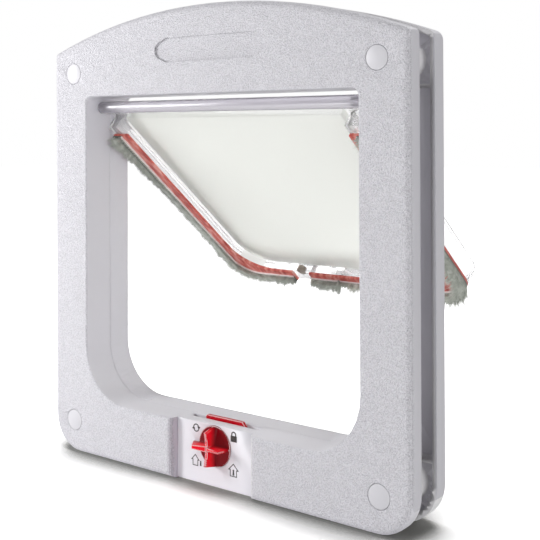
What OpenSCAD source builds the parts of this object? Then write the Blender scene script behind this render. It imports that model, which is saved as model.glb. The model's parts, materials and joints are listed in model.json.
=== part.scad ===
// Four-way locking cat flap for a door leaf.
// X runs to the right as seen from indoors, Y from the indoor face outwards, Z up.
// The origin is at the middle of the cat opening, on the plane of the door's indoor face.
// The pieces are drawn from the middle of the bottom edge and the indoor face of the frame,
// and placed() moves them to the origin.

/* [Frames] */
// Width of both frames
frame_w = 240; // [222:1:280]
// Height of the straight sides
side_h = 230.4; // [225:0.2:260]
// Rise of the arched top above the sides
arch_rise = 21; // [10:1:34]
// Radius of the lower outer corners
foot_r = 20; // [12:1:28]
// Radius of the upper outer corners of the front frame
front_shoulder_r = 3; // [2.5:0.5:8]
// Radius of the upper outer corners of the rear frame
rear_shoulder_r = 5; // [3.5:0.5:10]
// Depth of the front frame's outer wall
front_depth = 8.5; // [7.5:0.5:14]
// Depth of the rear frame's outer wall
rear_depth = 9.8; // [9:0.2:14]
// Gap between the frames, which holds the door leaf
door_gap = 14.5; // [12.5:0.5:16]
// Wall of the frames' faces and sides
wall = 2.6; // [1.8:0.1:2.6]
// Rounding of the front frame's outer edge
front_round = 4; // [3:0.5:6]
// Rounding of the rear frame's outer edge
rear_round = 2.5; // [1.5:0.5:4]
// Thickness of the ribs that tie the tunnel to the outer walls
rib_t = 1.6; // [1.2:0.1:2.4]

/* [Tunnel] */
// Width of the cat opening
opening_w = 184.5; // [170:0.5:188]
// Height of the cat opening
opening_h = 172.6; // [166:0.2:176]
// Height of the tunnel's floor above the bottom edge
floor_z = 32; // [29:0.2:36]
// Radius of the opening's lower corners
opening_foot_r = 30; // [20:1:40]
// Radius of the opening's upper corners
opening_top_r = 4; // [2:0.5:8]
// Rounding of the opening's indoor edge
opening_round = 1.2; // [0.8:0.2:3]
// Wall of the tunnel
tunnel_wall = 1.8; // [1.4:0.1:2.4]
// Depth of the front frame's tunnel from the indoor face
tunnel_depth = 18.3; // [17.8:0.1:19]
// Wall of the skirt that slides over the front tunnel
skirt_wall = 1.6; // [1.2:0.1:2]
// Length of the skirt over the front tunnel
skirt_overlap = 7.5; // [5:0.5:9]

/* [Recess] */
// Length of the shallow recess above the opening
recess_l = 75.5; // [50:0.5:100]
// Height of the recess
recess_h = 13; // [8:0.5:18]
// Length of the recess's straight edges
recess_flat_l = 59; // [40:0.5:80]
// Height of the recess's middle above the bottom edge
recess_z = 228; // [223:0.2:233]
// Depth of the recess
recess_depth = 1.1; // [0.6:0.1:1.3]
// Radius of the recess's ends
recess_end_r = 4.5; // [3:0.5:6]

/* [Fixing screws] */
// Distance of the screws from the frames' sides
screw_edge = 17.35; // [16.5:0.05:19]
// Height of the lower screws
screw_low_z = 18.4; // [17.8:0.1:19.8]
// Height of the upper screws
screw_high_z = 218; // [216.8:0.1:219.8]
// Radius of the screws' shanks
screw_r = 1.95; // [1.5:0.05:2.2]
// Radius of the screws' heads
screw_head_r = 3.8; // [3:0.1:4]
// Height of the screws' heads
screw_head_h = 2.5; // [2:0.1:3]
// Radius of the screw caps
cap_r = 5.75; // [5.2:0.05:6]
// Thickness of a cap's rim
cap_t = 1.5; // [1:0.1:1.7]
// Rise of a cap's dome above the face
cap_dome = 0.7; // [0.3:0.1:1.2]
// Outer radius of the front screw posts
post_r = 6.8; // [6.6:0.1:7.2]
// Outer radius of the rear sockets that take the posts
socket_r = 8.8; // [8.4:0.1:9.2]

/* [Hinge] */
// Distance of the hinge axis behind the indoor face
hinge_y = 12; // [11:0.2:13]
// Height of the hinge axis above the tunnel floor
hinge_rise = 166.5; // [166:0.1:167]
// Radius of the hinge pins
hinge_pin_r = 1.5; // [1:0.1:2]
// Length of the hinge pins
hinge_pin_l = 16; // [12:0.5:20]
// Radius of the bar along the top of the flap
hinge_bar_r = 3.4; // [3:0.1:4.4]
// Radius of the bosses that carry the pins
hinge_boss_r = 4.4; // [3.5:0.1:4.8]
// Length of the bosses outside the tunnel wall
hinge_boss_l = 4; // [3:0.5:5]
// Angle of the flap outwards from hanging straight down
flap_open = 51; // [0:0.5:80]

/* [Flap] */
// Width of the flap over its rear flange
flap_w = 177.2; // [160:0.2:181]
// Length of the flap from the hinge axis to its lower edge
flap_l = 163.7; // [150:0.1:164]
// Radius of the flap's lower corners
flap_corner_r = 23; // [21:0.5:28]
// Thickness of the flap's flange and pane
flap_t = 1.4; // [1.2:0.1:2]
// Distance of the flange's outdoor face behind the hinge axis
flange_back = 2.1; // [1.8:0.1:2.6]
// Width of the raised pane
pane_w = 147.4; // [130:0.2:149]
// Distance of the pane's lower edge from the hinge axis
pane_l = 151.3; // [136:0.1:152.6]
// Distance of the pane's upper edge from the hinge axis
pane_start = 5; // [4.5:0.5:10]
// Height of the pane's indoor face above the hinge axis
pane_rise = 4; // [3:0.1:5]
// Radius of the pane's lower corners
pane_corner_r = 20; // [14:0.5:21]
// Height of the rim's flat land above the hinge axis
land_rise = 8.2; // [7:0.1:8.4]
// Width of the land at the sides
land_side_w = 11; // [9:0.2:12]
// Width of the land at the bottom
land_low_w = 9; // [8:0.2:10]
// Step from the flange's edge to the rim
flange_step = 1.4; // [1:0.1:2]
// Wall of the hollow rim
rim_wall = 1.2; // [1:0.1:2]
// Distance of the rim's upper ends from the hinge axis
rim_start = 8; // [8:0.5:14]

/* [Draught strips] */
// Distance of the strips' upper ends from the hinge axis
strip_start = 14; // [12:0.5:40]
// Thickness of the red adhesive strip
tape_t = 1.6; // [1:0.1:2.2]
// Width of red strip left bare inside the pile at the sides
bare_side_w = 4.4; // [3:0.1:5]
// Width of red strip left bare inside the pile at the bottom
bare_low_w = 4; // [3:0.1:4.6]
// Height of the pile at the sides
pile_side_h = 6.5; // [4:0.5:8]
// Height of the pile at the bottom
pile_low_h = 9.5; // [6:0.5:10]

/* [Magnets] */
// Distance between the two magnets
magnet_span = 65; // [62:1:90]
// Radius of the magnets
magnet_r = 3.1; // [2.5:0.1:3.5]
// Thickness of the magnets
magnet_t = 3; // [2:0.1:3.2]
// Width of the tab that interrupts the strips at a magnet
magnet_tab_w = 13; // [11:0.5:15]
// Distance from the flap's lower edge to a magnet's middle
magnet_up = 10; // [9:0.5:11]

/* [Lock panel] */
// Width of the smooth panel between the two blocks
panel_w = 52; // [50:0.5:64]
// Depth of the panel behind the indoor face
panel_depth = 5; // [4:0.1:5.4]
// Thickness of the panel
panel_t = 2.4; // [2:0.1:3]
// Rounding of the blocks beside the panel
block_round = 4; // [2:0.5:5]
// Length of the slot that the latch stands up through
slot_l = 47.5; // [44:0.5:50]
// Width of the slot
slot_w = 4.3; // [3.6:0.1:4.6]
// Distance of the slot behind the indoor face
slot_y = 11.7; // [11.6:0.1:12]
// Slant of the slot's ends
slot_slant = 1.6; // [0.5:0.1:2.4]

/* [Dial and latch] */
// Height of the dial's axis above the bottom edge
dial_z = 20.9; // [20.8:0.05:21.2]
// Radius of the dial's disc
dial_r = 10.6; // [9:0.1:10.8]
// Thickness of the dial's disc
dial_t = 1.5; // [1.2:0.1:2]
// How far the grip stands out of the panel
grip_rise = 8; // [6:0.2:9]
// Half height of the grip's upright blade at its front edge
blade_reach = 8.7; // [7:0.1:9.5]
// How far the grip's front edges dip towards its middle
grip_dip = 1.3; // [0.4:0.1:2]
// Thickness of the upright blade
blade_t = 1.5; // [1.2:0.1:2.5]
// Reach of the short arm at its front edge
arm_reach = 8.6; // [7:0.1:9.5]
// Reach of the pointer at its front edge
pointer_front_reach = 9.2; // [8:0.1:11]
// Reach of the pointer at the panel
pointer_reach = 14.6; // [12:0.1:15.4]
// Width of the pointer at its root
pointer_w = 2.8; // [2:0.1:6]
// Radius of the pointer's tip
pointer_tip_r = 0.7; // [0.5:0.1:1]
// Radius of the dial's shaft
shaft_r = 3.2; // [2.8:0.1:3.4]
// Width of the square end of the shaft
shaft_square = 4.3; // [3.6:0.1:4.5]
// Distance of the latch plate behind the indoor face
latch_y = 12.6; // [12.5:0.1:12.8]
// Thickness of the latch plate
latch_t = 2; // [1.6:0.1:2.2]
// Distance of the latch's flats from the dial's axis
latch_flat = 12.9; // [12:0.1:13.1]
// Radius of the latch's lobes
latch_lobe_r = 17.6; // [17:0.1:17.8]
// Radius of the click wheel behind the latch
click_r = 6; // [5:0.1:7]
// Thickness of the click wheel
click_t = 1.6; // [1.4:0.1:2]
// Thickness of the click spring's leaf
leaf_t = 0.5; // [0.4:0.05:0.7]
// Wall of the lock housing
housing_wall = 1.4; // [1.2:0.1:1.5]
// Thickness of the lock housing's cover
cover_t = 1.2; // [1:0.1:1.6]
// Radius of the dial's retaining screw
dial_screw_r = 1.2; // [1:0.1:1.4]
// Radius of the retaining screw's head
dial_screw_head_r = 2.8; // [2.6:0.1:3.2]

/* [Hidden] */

// Overrun of every cut
over = 1;
// Thickness of the slices that the rounded edges are drawn over
film = 0.02;
// Steps in a rounded outer edge
round_steps = 5;
// Facets of an arc in a rounded edge
round_fn = 32;
// Facets of plain arcs
arc_fn = 64;
// Facets of a cap's dome
dome_fn = 200;
// Straight steps in a foot, a shoulder and half of the arched top
foot_steps = 10;
shoulder_steps = 5;
arch_steps = 12;

// Running clearance of the pins and the shaft
running = 0.08;
// Clearance between pieces that slide or seat loosely
loose = 0.3;
// Clearance of a seated piece in its pocket
snug = 0.05;

depth = front_depth + door_gap + rear_depth;
rear_start = front_depth + door_gap;
half_w = frame_w / 2;
arch_r = (half_w * half_w + arch_rise * arch_rise) / (2 * arch_rise);
arch_z = side_h + arch_rise - arch_r;
ceiling_z = floor_z + opening_h;
hinge_z = floor_z + hinge_rise;
tunnel_out = tunnel_wall + loose + skirt_wall;
skirt_start = tunnel_depth - skirt_overlap;
rear_tunnel_start = tunnel_depth + loose;

// Depths along a fixing screw, from the indoor face
cap_stem_h = 1.4;
cap_stem_t = 0.8;
cap_seat = cap_t + snug;
screw_x = half_w - screw_edge;
head_recess_depth = cap_seat + cap_stem_h + loose + screw_head_h;
post_entry = 3.2;
post_end = rear_start + post_entry;
head_recess_r = screw_head_r + 2 * loose;
shank_hole_r = screw_r + loose;
pilot_r = screw_r + snug;
screw_end = depth - wall - loose;
drive_w = 0.9;
drive_depth = 1.2;
screw_places = [[-1, screw_high_z], [1, screw_high_z], [-1, screw_low_z], [1, screw_low_z]];

// Outlines of the flap: half width, upper end and lower end from the hinge axis, corner radius
flap_half = flap_w / 2;
land_out_half = flap_half - flange_step;
land_out_l = flap_l - flange_step;
land_out_r = flap_corner_r - flange_step;
land_in_half = land_out_half - land_side_w;
land_in_l = land_out_l - land_low_w;
land_in_r = flap_corner_r;
pile_in_half = land_in_half + bare_side_w;
pile_in_l = land_in_l + bare_low_w;
pile_in_r = flap_corner_r;
backing_t = 0.8;
tape_top = land_rise + tape_t;
backing_top = tape_top + backing_t;
magnet_s = flap_l - magnet_up;
magnet_pocket = land_rise - magnet_t;
pin_in_bar = hinge_pin_l - tunnel_wall - hinge_boss_l + loose;

// The notch and the two catches at the middle of the flap's lower edge
notch_half = 13.5;
notch_up = 4.8;
gate_half = 4.5;
catch_in = 5.2;
catch_out = 12;
catch_t = 1.4;
catch_gap = 0.5;

// Depths along the dial's axis, from the indoor face
disc_front = panel_depth - 1.5 * loose;
disc_back = disc_front + dial_t;
disc_recess = disc_back + loose / 2;
shaft_boss_end = 11;
shaft_boss_r = 5.4;
hub_front = shaft_boss_end + loose / 2;
hub_r = 5;
latch_back = latch_y + latch_t;
click_back = latch_back + click_t;
latch_seat = latch_back + loose;
square_back = latch_back - 1.5 * loose;
cover_y = tunnel_depth - loose - cover_t;
dial_screw_head_h = click_back - latch_seat + loose / 2;
dial_screw_l = 6;
grip_front = panel_depth - grip_rise;
housing_in = latch_lobe_r + loose + snug;
housing_low = dial_z - housing_in - housing_wall;
housing_half = slot_l / 2 + loose;
peg_r = 0.9;
peg_l = 4;
peg_post_r = 2;
peg_x = housing_half - peg_post_r + loose;
peg_z = dial_z - housing_in + peg_post_r - loose;
cup_wall = 0.7;
cup_r = magnet_r + cup_wall;
cup_low = floor_z - tunnel_wall - magnet_t;
click_notch_r = 1;
leaf_nose = 1.2;
leaf_w = 1.3;
leaf_gap = 0.2;
leaf_half = 11;
leaf_post_w = 3;
leaf_post_h = 2.4;
leaf_z = dial_z - click_r - loose / 2 - leaf_nose - leaf_t;

// Colours
white_shell = [0.84, 0.83, 0.87];
white_rear = [0.78, 0.77, 0.81];
clear_plastic = [0.88, 0.9, 0.9, 0.45];
red_plastic = [0.8, 0.02, 0.1];
red_tape = [0.78, 0.2, 0.17];
grey_pile = [0.6, 0.63, 0.59];
steel = [0.7, 0.7, 0.72];
magnet_metal = [0.5, 0.45, 0.42];

// Moves what was drawn from the frame's bottom edge and indoor face to the origin
module placed() {
    translate([0, -front_depth, -floor_z - opening_h / 2]) children();
}

// Puts a flat shape, drawn in X and Z, between two depths
module slab(y0, y1) {
    translate([0, y1, 0])
        rotate([90, 0, 0])
            linear_extrude(y1 - y0) children();
}

// A round bar along Y
module bar_y(r, y0, y1) {
    translate([0, y0, 0])
        rotate([-90, 0, 0])
            cylinder(r = r, h = y1 - y0, $fn = arc_fn);
}

// Points on an arc from angle a0 to a1, without its first point
function arc_points(centre, r, a0, a1, steps) = [for (i = [1:steps])
    let(a = a0 + (a1 - a0) * i / steps) [centre[0] + r * cos(a), centre[1] + r * sin(a)]];

// Right half of a frame's outline: a rounded foot, a straight side, a rounded shoulder, an arch
function half_outline(inset, shoulder) =
    let(r = arch_r - inset,
        sr = max(shoulder - inset, loose),
        sx = half_w - inset - sr,
        sz = arch_z + sqrt((r - sr) * (r - sr) - sx * sx),
        lean = acos(sx / (r - sr)))
    concat([[half_w - foot_r, inset]],
        arc_points([half_w - foot_r, foot_r], foot_r - inset, -90, 0, foot_steps),
        [[sx + sr, sz]],
        arc_points([sx, sz], sr, 0, lean, shoulder_steps),
        arc_points([0, arch_z], r, lean, 90, arch_steps));

function whole_outline(half) = concat(half,
    [for (i = [len(half) - 2:-1:0]) [-half[i][0], half[i][1]]]);

module outline(inset, shoulder) {
    polygon(whole_outline(half_outline(inset, shoulder)));
}

// Outline of the cat opening, grown outwards on every side
module opening(grow, fn) {
    half = opening_w / 2 + grow;
    low = floor_z - grow;
    high = ceiling_z + grow;
    fr = opening_foot_r + grow;
    tr = opening_top_r + grow;
    for (side = [-1, 1]) {
        translate([side * (half - fr), low + fr]) circle(r = fr, $fn = fn);
        translate([side * (half - tr), high - tr]) circle(r = tr, $fn = fn);
    }
    translate([-half, low + fr]) square([2 * half, high - tr - low - fr]);
    translate([fr - half, low]) square([2 * (half - fr), 2 * fr]);
    translate([tr - half, high - 2 * tr]) square([2 * (half - tr), 2 * tr]);
}

// Outline of the elongated recess above the opening, chamfered towards its round ends
module recess_shape() {
    hull() {
        square([recess_flat_l, recess_h], center = true);
        for (side = [-1, 1])
            translate([side * (recess_l / 2 - recess_end_r), 0]) circle(r = recess_end_r, $fn = round_fn);
    }
}

// A block with a frame's outline: its edge is rounded over round_r at depth y_edge
module rounded_block(y_edge, y_flat, round_r, shoulder) {
    way = y_flat > y_edge ? 1 : -1;
    rising = concat([for (i = [0:round_steps])
        let(turn = i * 90 / round_steps)
        [y_edge + way * round_r * (1 - cos(turn)), round_r * (1 - sin(turn))]], [[y_flat, 0]]);
    last = len(rising) - 1;
    slices = way > 0 ? rising : [for (i = [last:-1:0]) rising[i]];
    rings = [for (slice = slices) whole_outline(half_outline(slice[1], shoulder))];
    n = len(rings[0]);
    polyhedron(
        points = [for (k = [0:last]) for (q = rings[k]) [q[0], slices[k][0], q[1]]],
        faces = concat(
            [[for (i = [n - 1:-1:0]) i]],
            [for (k = [0:last - 1]) for (i = [0:n - 1])
                let(a = k * n + i, b = k * n + (i + 1) % n) each [[a, b, b + n], [a, b + n, a + n]]],
            [[for (i = [0:n - 1]) last * n + i]]));
}

// Cuts the indoor edge of the opening round, in three flared rings
module opening_flare() {
    steps = 3;
    for (i = [0:steps - 1])
        hull() {
            flare_slice(i * 90 / steps);
            flare_slice((i + 1) * 90 / steps);
        }
}
module flare_slice(turn) {
    y = opening_round * (1 - cos(turn));
    slab(y - film, y) opening(opening_round * (1 - sin(turn)), round_fn);
}

// A frame's hollow shell, rounded at y_edge and open towards the door at y_open
module shell(y_edge, y_open, round_r, shoulder) {
    way = y_open > y_edge ? 1 : -1;
    back = y_edge + way * wall;
    mouth = y_open + way * over;
    difference() {
        rounded_block(y_edge, y_open, round_r, shoulder);
        slab(min(back, mouth), max(back, mouth)) outline(wall, shoulder);
    }
}

// Flat shapes of the ribs that run from the tunnel into the outer walls
module ribs(shoulder) {
    low = floor_z - tunnel_wall / 2;
    high = ceiling_z + tunnel_wall / 2;
    intersection() {
        outline(wall / 2, shoulder);
        union() {
            for (z = [low, high])
                translate([-half_w, z - rib_t / 2]) square([frame_w, rib_t]);
            for (side = [-1, 1])
                translate([side * opening_w / 4 - rib_t / 2, high]) square([rib_t, side_h]);
        }
    }
}

module square_from(low, high) {
    translate(low) square(high - low);
}

// Cuts the space in front of the smooth panel, leaving the blocks with rounded ends
module panel_recess() {
    half = panel_w / 2;
    translate([0, 0, -over])
        linear_extrude(floor_z + over) {
            square_from([-half, -over], [half, panel_depth]);
            difference() {
                square_from([-half - block_round, -over], [half + block_round, block_round]);
                for (side = [-1, 1])
                    translate([side * (half + block_round), block_round])
                        circle(r = block_round, $fn = arc_fn);
            }
        }
}

// Hollow of the lock housing, open to the back
module housing_hollow() {
    slab(panel_depth + panel_t, tunnel_depth + over)
        difference() {
            square_from([-housing_half, dial_z - housing_in], [housing_half, floor_z - tunnel_wall]);
            translate([0, dial_z]) circle(r = shaft_boss_r, $fn = arc_fn);
            peg_post_circles(peg_post_r);
        }
    slab(shaft_boss_end, tunnel_depth + over)
        translate([0, dial_z]) circle(r = shaft_boss_r + film, $fn = arc_fn);
    slab(cover_y, tunnel_depth + over)
        peg_post_circles(peg_post_r + film);
}
module peg_post_circles(r) {
    for (side = [-1, 1])
        translate([side * peg_x, peg_z]) circle(r = r, $fn = arc_fn);
}

module latch_slot() {
    half = slot_l / 2;
    high = floor_z + over;
    low = floor_z - tunnel_wall - film;
    slab(slot_y, slot_y + slot_w)
        polygon([[-half, high], [half, high], [half, floor_z], [half - slot_slant, low],
            [slot_slant - half, low], [-half, floor_z]]);
}

module hinge_bosses(r, inner, outer) {
    for (side = [-1, 1])
        translate([side * inner, hinge_y, hinge_z])
            rotate([0, side * 90, 0])
                cylinder(r = r, h = outer - inner, $fn = arc_fn);
}

module threshold_cups(r, low, high) {
    for (side = [-1, 1])
        translate([side * magnet_span / 2, hinge_y, low])
            cylinder(r = r, h = high - low, $fn = arc_fn);
}

module front_frame() {
    color(white_shell)
    placed()
    difference() {
        union() {
            shell(0, front_depth, front_round, front_shoulder_r);
            slab(wall / 2, front_depth) ribs(front_shoulder_r);
            slab(wall / 2, tunnel_depth) opening(tunnel_wall, arc_fn);
            slab(wall / 2, front_depth)
                square_from([-panel_w / 2 - wall, wall / 2], [panel_w / 2 + wall, floor_z - film]);
            for (place = screw_places)
                translate([place[0] * screw_x, 0, place[1]]) bar_y(post_r, wall / 2, post_end);
            hinge_bosses(hinge_boss_r, opening_w / 2 + film, opening_w / 2 + tunnel_wall + hinge_boss_l);
            threshold_cups(cup_r, cup_low, floor_z - film);
            slab(panel_depth + panel_t, tunnel_depth - loose)
                square_from([-housing_half - housing_wall, housing_low],
                    [housing_half + housing_wall, floor_z - film]);
        }
        slab(-over, tunnel_depth + over) opening(0, arc_fn);
        opening_flare();
        slab(-over, recess_depth) translate([0, recess_z]) recess_shape();
        panel_recess();
        housing_hollow();
        latch_slot();
        translate([0, 0, dial_z]) {
            bar_y(dial_r + loose, 0, disc_recess);
            bar_y(shaft_r + running, 0, tunnel_depth);
        }
        for (side = [-1, 1])
            translate([side * peg_x, 0, peg_z]) bar_y(peg_r + snug, cover_y - peg_l - loose, cover_y + over);
        hinge_bosses(hinge_pin_r + running, opening_w / 2 - over, half_w);
        threshold_cups(magnet_r + snug, cup_low - over, floor_z - tunnel_wall);
        for (place = screw_places)
            translate([place[0] * screw_x, 0, place[1]]) {
                bar_y(cap_r + loose, -over, cap_seat);
                bar_y(head_recess_r, 0, head_recess_depth);
                bar_y(shank_hole_r, 0, post_end + over);
            }
    }
}

module rear_frame() {
    color(white_rear)
    placed()
    difference() {
        union() {
            shell(depth, rear_start, rear_round, rear_shoulder_r);
            slab(rear_start, depth - wall / 2) ribs(rear_shoulder_r);
            slab(skirt_start, depth - wall / 2) opening(tunnel_out, arc_fn);
            for (place = screw_places)
                translate([place[0] * screw_x, 0, place[1]])
                    bar_y(socket_r, rear_start, depth - wall / 2);
        }
        slab(skirt_start - over, depth + over) opening(0, arc_fn);
        slab(skirt_start - over, rear_tunnel_start) opening(tunnel_wall + loose, arc_fn);
        skirt_notches();
        for (place = screw_places)
            translate([place[0] * screw_x, 0, place[1]]) {
                bar_y(post_r + loose, rear_start - over, post_end + loose);
                bar_y(pilot_r, rear_start, depth - wall);
            }
    }
}

// Leaves the skirt clear of the hinge bosses, the magnets and the lock housing
module skirt_notches() {
    y = skirt_start - over;
    h = hinge_boss_r + loose;
    for (side = [-1, 1])
        translate([side * opening_w / 2, y, hinge_z - h])
            translate([side > 0 ? 0 : -tunnel_out - over, 0, 0])
                cube([tunnel_out + over, hinge_y + h - y, 2 * h]);
    half = magnet_span / 2 + cup_r + loose;
    translate([-half, y, floor_z - tunnel_out - over])
        cube([2 * half, rear_tunnel_start - y, tunnel_out + over]);
}

// A domed cap that covers a screw's head
module screw_cap(place) {
    dome_r = (cap_r * cap_r + cap_dome * cap_dome) / (2 * cap_dome);
    color(white_shell)
    placed()
    translate([place[0] * screw_x, 0, place[1]]) {
        bar_y(cap_r, 0, cap_seat);
        intersection() {
            translate([0, dome_r - cap_dome, 0]) sphere(r = dome_r, $fn = dome_fn);
            bar_y(cap_r, -cap_dome, cap_seat);
        }
        difference() {
            bar_y(head_recess_r - loose / 2, cap_seat - film, cap_seat + cap_stem_h);
            bar_y(head_recess_r - loose / 2 - cap_stem_t, cap_seat, cap_seat + cap_stem_h + over);
        }
    }
}

// A cross-head screw that clamps the two frames on the door
module fixing_screw(place) {
    seat = head_recess_depth;
    color(steel)
    placed()
    translate([place[0] * screw_x, 0, place[1]])
        difference() {
            union() {
                bar_y(screw_head_r, seat - screw_head_h, seat);
                bar_y(screw_r, seat - film, screw_end);
            }
            for (turn = [0, 90])
                rotate([0, turn, 0])
                    translate([-screw_head_r / 2, seat - screw_head_h - over, -drive_w / 2])
                        cube([screw_head_r, drive_depth + over, drive_w]);
        }
}

module dial_knob() {
    color(red_plastic)
    placed()
    translate([0, 0, dial_z])
        difference() {
            union() {
                bar_y(dial_r, disc_front, disc_back);
                bar_y(shaft_r, disc_back - film, hub_front);
                slab(hub_front - film, square_back)
                    square(shaft_square, center = true);
                dial_grip();
            }
            bar_y(dial_screw_r + snug, latch_seat - dial_screw_l - loose, square_back + over);
        }
}

// The cross grip: an upright blade, a short arm and a tapered pointer to the left
module dial_grip() {
    foot = dial_r - loose;
    back = disc_front + film;
    middle = grip_front + grip_dip;
    dip_r = (blade_reach * blade_reach + grip_dip * grip_dip) / (2 * grip_dip);
    translate([-blade_t / 2, 0, 0])
        rotate([90, 0, 90])
            linear_extrude(blade_t)
                difference() {
                    polygon([[grip_front, -blade_reach], [grip_front, blade_reach], [back, foot], [back, -foot]]);
                    translate([middle - dip_r, 0]) circle(r = dip_r, $fn = arc_fn);
                }
    translate([0, 0, -blade_t / 2])
        linear_extrude(blade_t)
            polygon([[0, middle], [arm_reach, grip_front], [foot, back], [0, back]]);
    intersection() {
        slab(grip_front, back)
            hull() {
                translate([-pointer_w / 2, 0]) circle(r = pointer_w / 2, $fn = round_fn);
                translate([pointer_tip_r - pointer_reach, 0]) circle(r = pointer_tip_r, $fn = round_fn);
            }
        translate([0, 0, -pointer_w])
            linear_extrude(2 * pointer_w)
                polygon([[0, middle], [-pointer_front_reach, grip_front],
                    [-pointer_reach, disc_front], [-pointer_reach, back], [0, back]]);
    }
}

// The latch plate: a square with two lobes, whose flat stands in the slot at this setting
module latch_outline() {
    lobe = latch_lobe_r;
    intersection() {
        circle(r = lobe, $fn = arc_fn);
        union() {
            square(2 * latch_flat, center = true);
            translate([-lobe, -lobe]) square(lobe);
            polygon([[0, 0], [2 * lobe, -2 * lobe], [2 * lobe, 2 * lobe]]);
        }
    }
}

module latch_rotor() {
    color(red_plastic)
    placed()
    translate([0, 0, dial_z])
        difference() {
            union() {
                bar_y(hub_r, hub_front, latch_y + film);
                slab(latch_y, latch_back) latch_outline();
                slab(latch_back - film, click_back)
                    difference() {
                        circle(r = click_r, $fn = arc_fn);
                        for (turn = [45:90:315])
                            rotate(turn) translate([click_r, 0]) circle(r = click_notch_r, $fn = round_fn);
                    }
            }
            slab(hub_front - over, square_back + snug)
                square(shaft_square + 2 * snug, center = true);
            bar_y(dial_screw_r + loose / 2, latch_y, click_back);
            bar_y(dial_screw_head_r + loose / 2, latch_seat, click_back + over);
        }
}

module dial_screw() {
    color(steel)
    placed()
    translate([0, 0, dial_z]) {
        bar_y(dial_screw_head_r, latch_seat, latch_seat + dial_screw_head_h);
        bar_y(dial_screw_r, latch_seat - dial_screw_l, latch_seat + film);
    }
}

// A leaf spring whose nose drops into the click wheel's notches
module click_spring() {
    y = latch_back + leaf_gap;
    color(steel)
    placed()
    slab(y, y + leaf_w)
        translate([0, leaf_z]) {
            square_from([-leaf_half, 0], [leaf_half, leaf_t]);
            intersection() {
                circle(r = leaf_t + leaf_nose, $fn = arc_fn);
                square_from([-2 * leaf_nose, 0], [2 * leaf_nose, 2 * leaf_nose]);
            }
        }
}

// The cover that closes the lock housing and holds the click spring
module lock_cover() {
    half = housing_half - loose / 2;
    low = dial_z - housing_in + loose / 2;
    high = floor_z - tunnel_wall - loose / 2;
    y = latch_back + leaf_gap;
    color(white_rear)
    placed()
    difference() {
        union() {
            slab(cover_y, cover_y + cover_t) square_from([-half, low], [half, high]);
            for (side = [-1, 1]) {
                translate([side * peg_x, 0, peg_z]) bar_y(peg_r, cover_y - peg_l, cover_y + film);
                slab(y, cover_y + film)
                    translate([side * (leaf_half - leaf_post_w / 2), leaf_z + leaf_t / 2])
                        square([leaf_post_w, leaf_post_h], center = true);
            }
        }
        slab(y - over, y + leaf_w + snug)
            square_from([-leaf_half - snug, leaf_z - snug], [leaf_half + snug, leaf_z + leaf_t + snug]);
    }
}

module threshold_magnet(side) {
    color(magnet_metal)
    placed()
    translate([side * magnet_span / 2, hinge_y, floor_z - tunnel_wall - magnet_t])
        cylinder(r = magnet_r, h = magnet_t, $fn = arc_fn);
}

// Puts the flap's pieces, built hanging straight down from the hinge axis, at its open angle
module hung() {
    placed()
        translate([0, hinge_y, hinge_z])
            rotate([flap_open, 0, 0]) children();
}

// A flat shape on the flap between two heights on its indoor side
module layer(n0, n1) {
    slab(-n1, -n0) children();
}

// Flat outline that hangs from the axis, with rounded lower corners
module bib(half, top_l, low_l, r) {
    for (side = [-1, 1])
        translate([side * (half - r), r - low_l]) circle(r = r, $fn = arc_fn);
    square_from([-half, r - low_l], [half, -top_l]);
    square_from([r - half, -low_l], [half - r, r - low_l]);
}

module magnet_tabs_shape(w) {
    for (side = [-1, 1])
        translate([side * magnet_span / 2 - w / 2, -flap_l]) square([w, flap_l / 4]);
}

// The notch through which the latch's lobes pass the flap's lower edge
module latch_notch() {
    low = notch_up - flap_l;
    layer(-flange_back - over, flap_t - flange_back)
        square_from([-notch_half, -flap_l - over], [notch_half, low]);
    layer(0, land_rise + pile_low_h + tape_t + backing_t + over)
        square_from([-gate_half, -flap_l - over], [notch_half, low]);
}

// The two catches that the latch's lobes stop
module catches() {
    front = hinge_y - latch_y + catch_gap;
    back = latch_back + catch_gap - hinge_y;
    layer(front, front + catch_t)
        square_from([-catch_out, -flap_l], [-catch_in, notch_up - flap_l]);
    layer(-back - catch_t, -back)
        square_from([catch_in, -flap_l], [catch_out, notch_up - flap_l + film]);
    layer(-back - catch_t, -flange_back + film)
        square_from([catch_in, notch_up - flap_l], [catch_out, 2 * notch_up - flap_l]);
}

module flap_panel() {
    color(clear_plastic)
    hung()
        difference() {
            union() {
                difference() {
                    flap_body();
                    latch_notch();
                }
                catches();
            }
            flap_bores();
        }
}

module flap_body() {
    bar_half = opening_w / 2 - 2 * loose;
    translate([-bar_half, 0, 0])
        rotate([0, 90, 0])
            cylinder(r = hinge_bar_r, h = 2 * bar_half, $fn = arc_fn);
    layer(-flange_back, flap_t - flange_back)
        difference() {
            bib(flap_half, 0, flap_l, flap_corner_r);
            rim_core();
            bib(pane_w / 2 - flap_t, pane_start + flap_t, pane_l - flap_t, pane_corner_r - flap_t);
        }
    layer(-flange_back, pane_rise)
        difference() {
            bib(pane_w / 2, pane_start, pane_l, pane_corner_r);
            bib(pane_w / 2 - flap_t, pane_start + flap_t, pane_l - flap_t, pane_corner_r - flap_t);
        }
    layer(pane_rise - flap_t, pane_rise)
        bib(pane_w / 2, pane_start, pane_l, pane_corner_r);
    layer(-flange_back, land_rise)
        difference() {
            rim_outline();
            rim_core();
        }
    layer(land_rise - rim_wall, land_rise) rim_outline();
}

// The rim's land, seen from indoors
module rim_outline() {
    difference() {
        bib(land_out_half, rim_start, land_out_l, land_out_r);
        bib(land_in_half, 0, land_in_l, land_in_r);
    }
}

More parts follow.
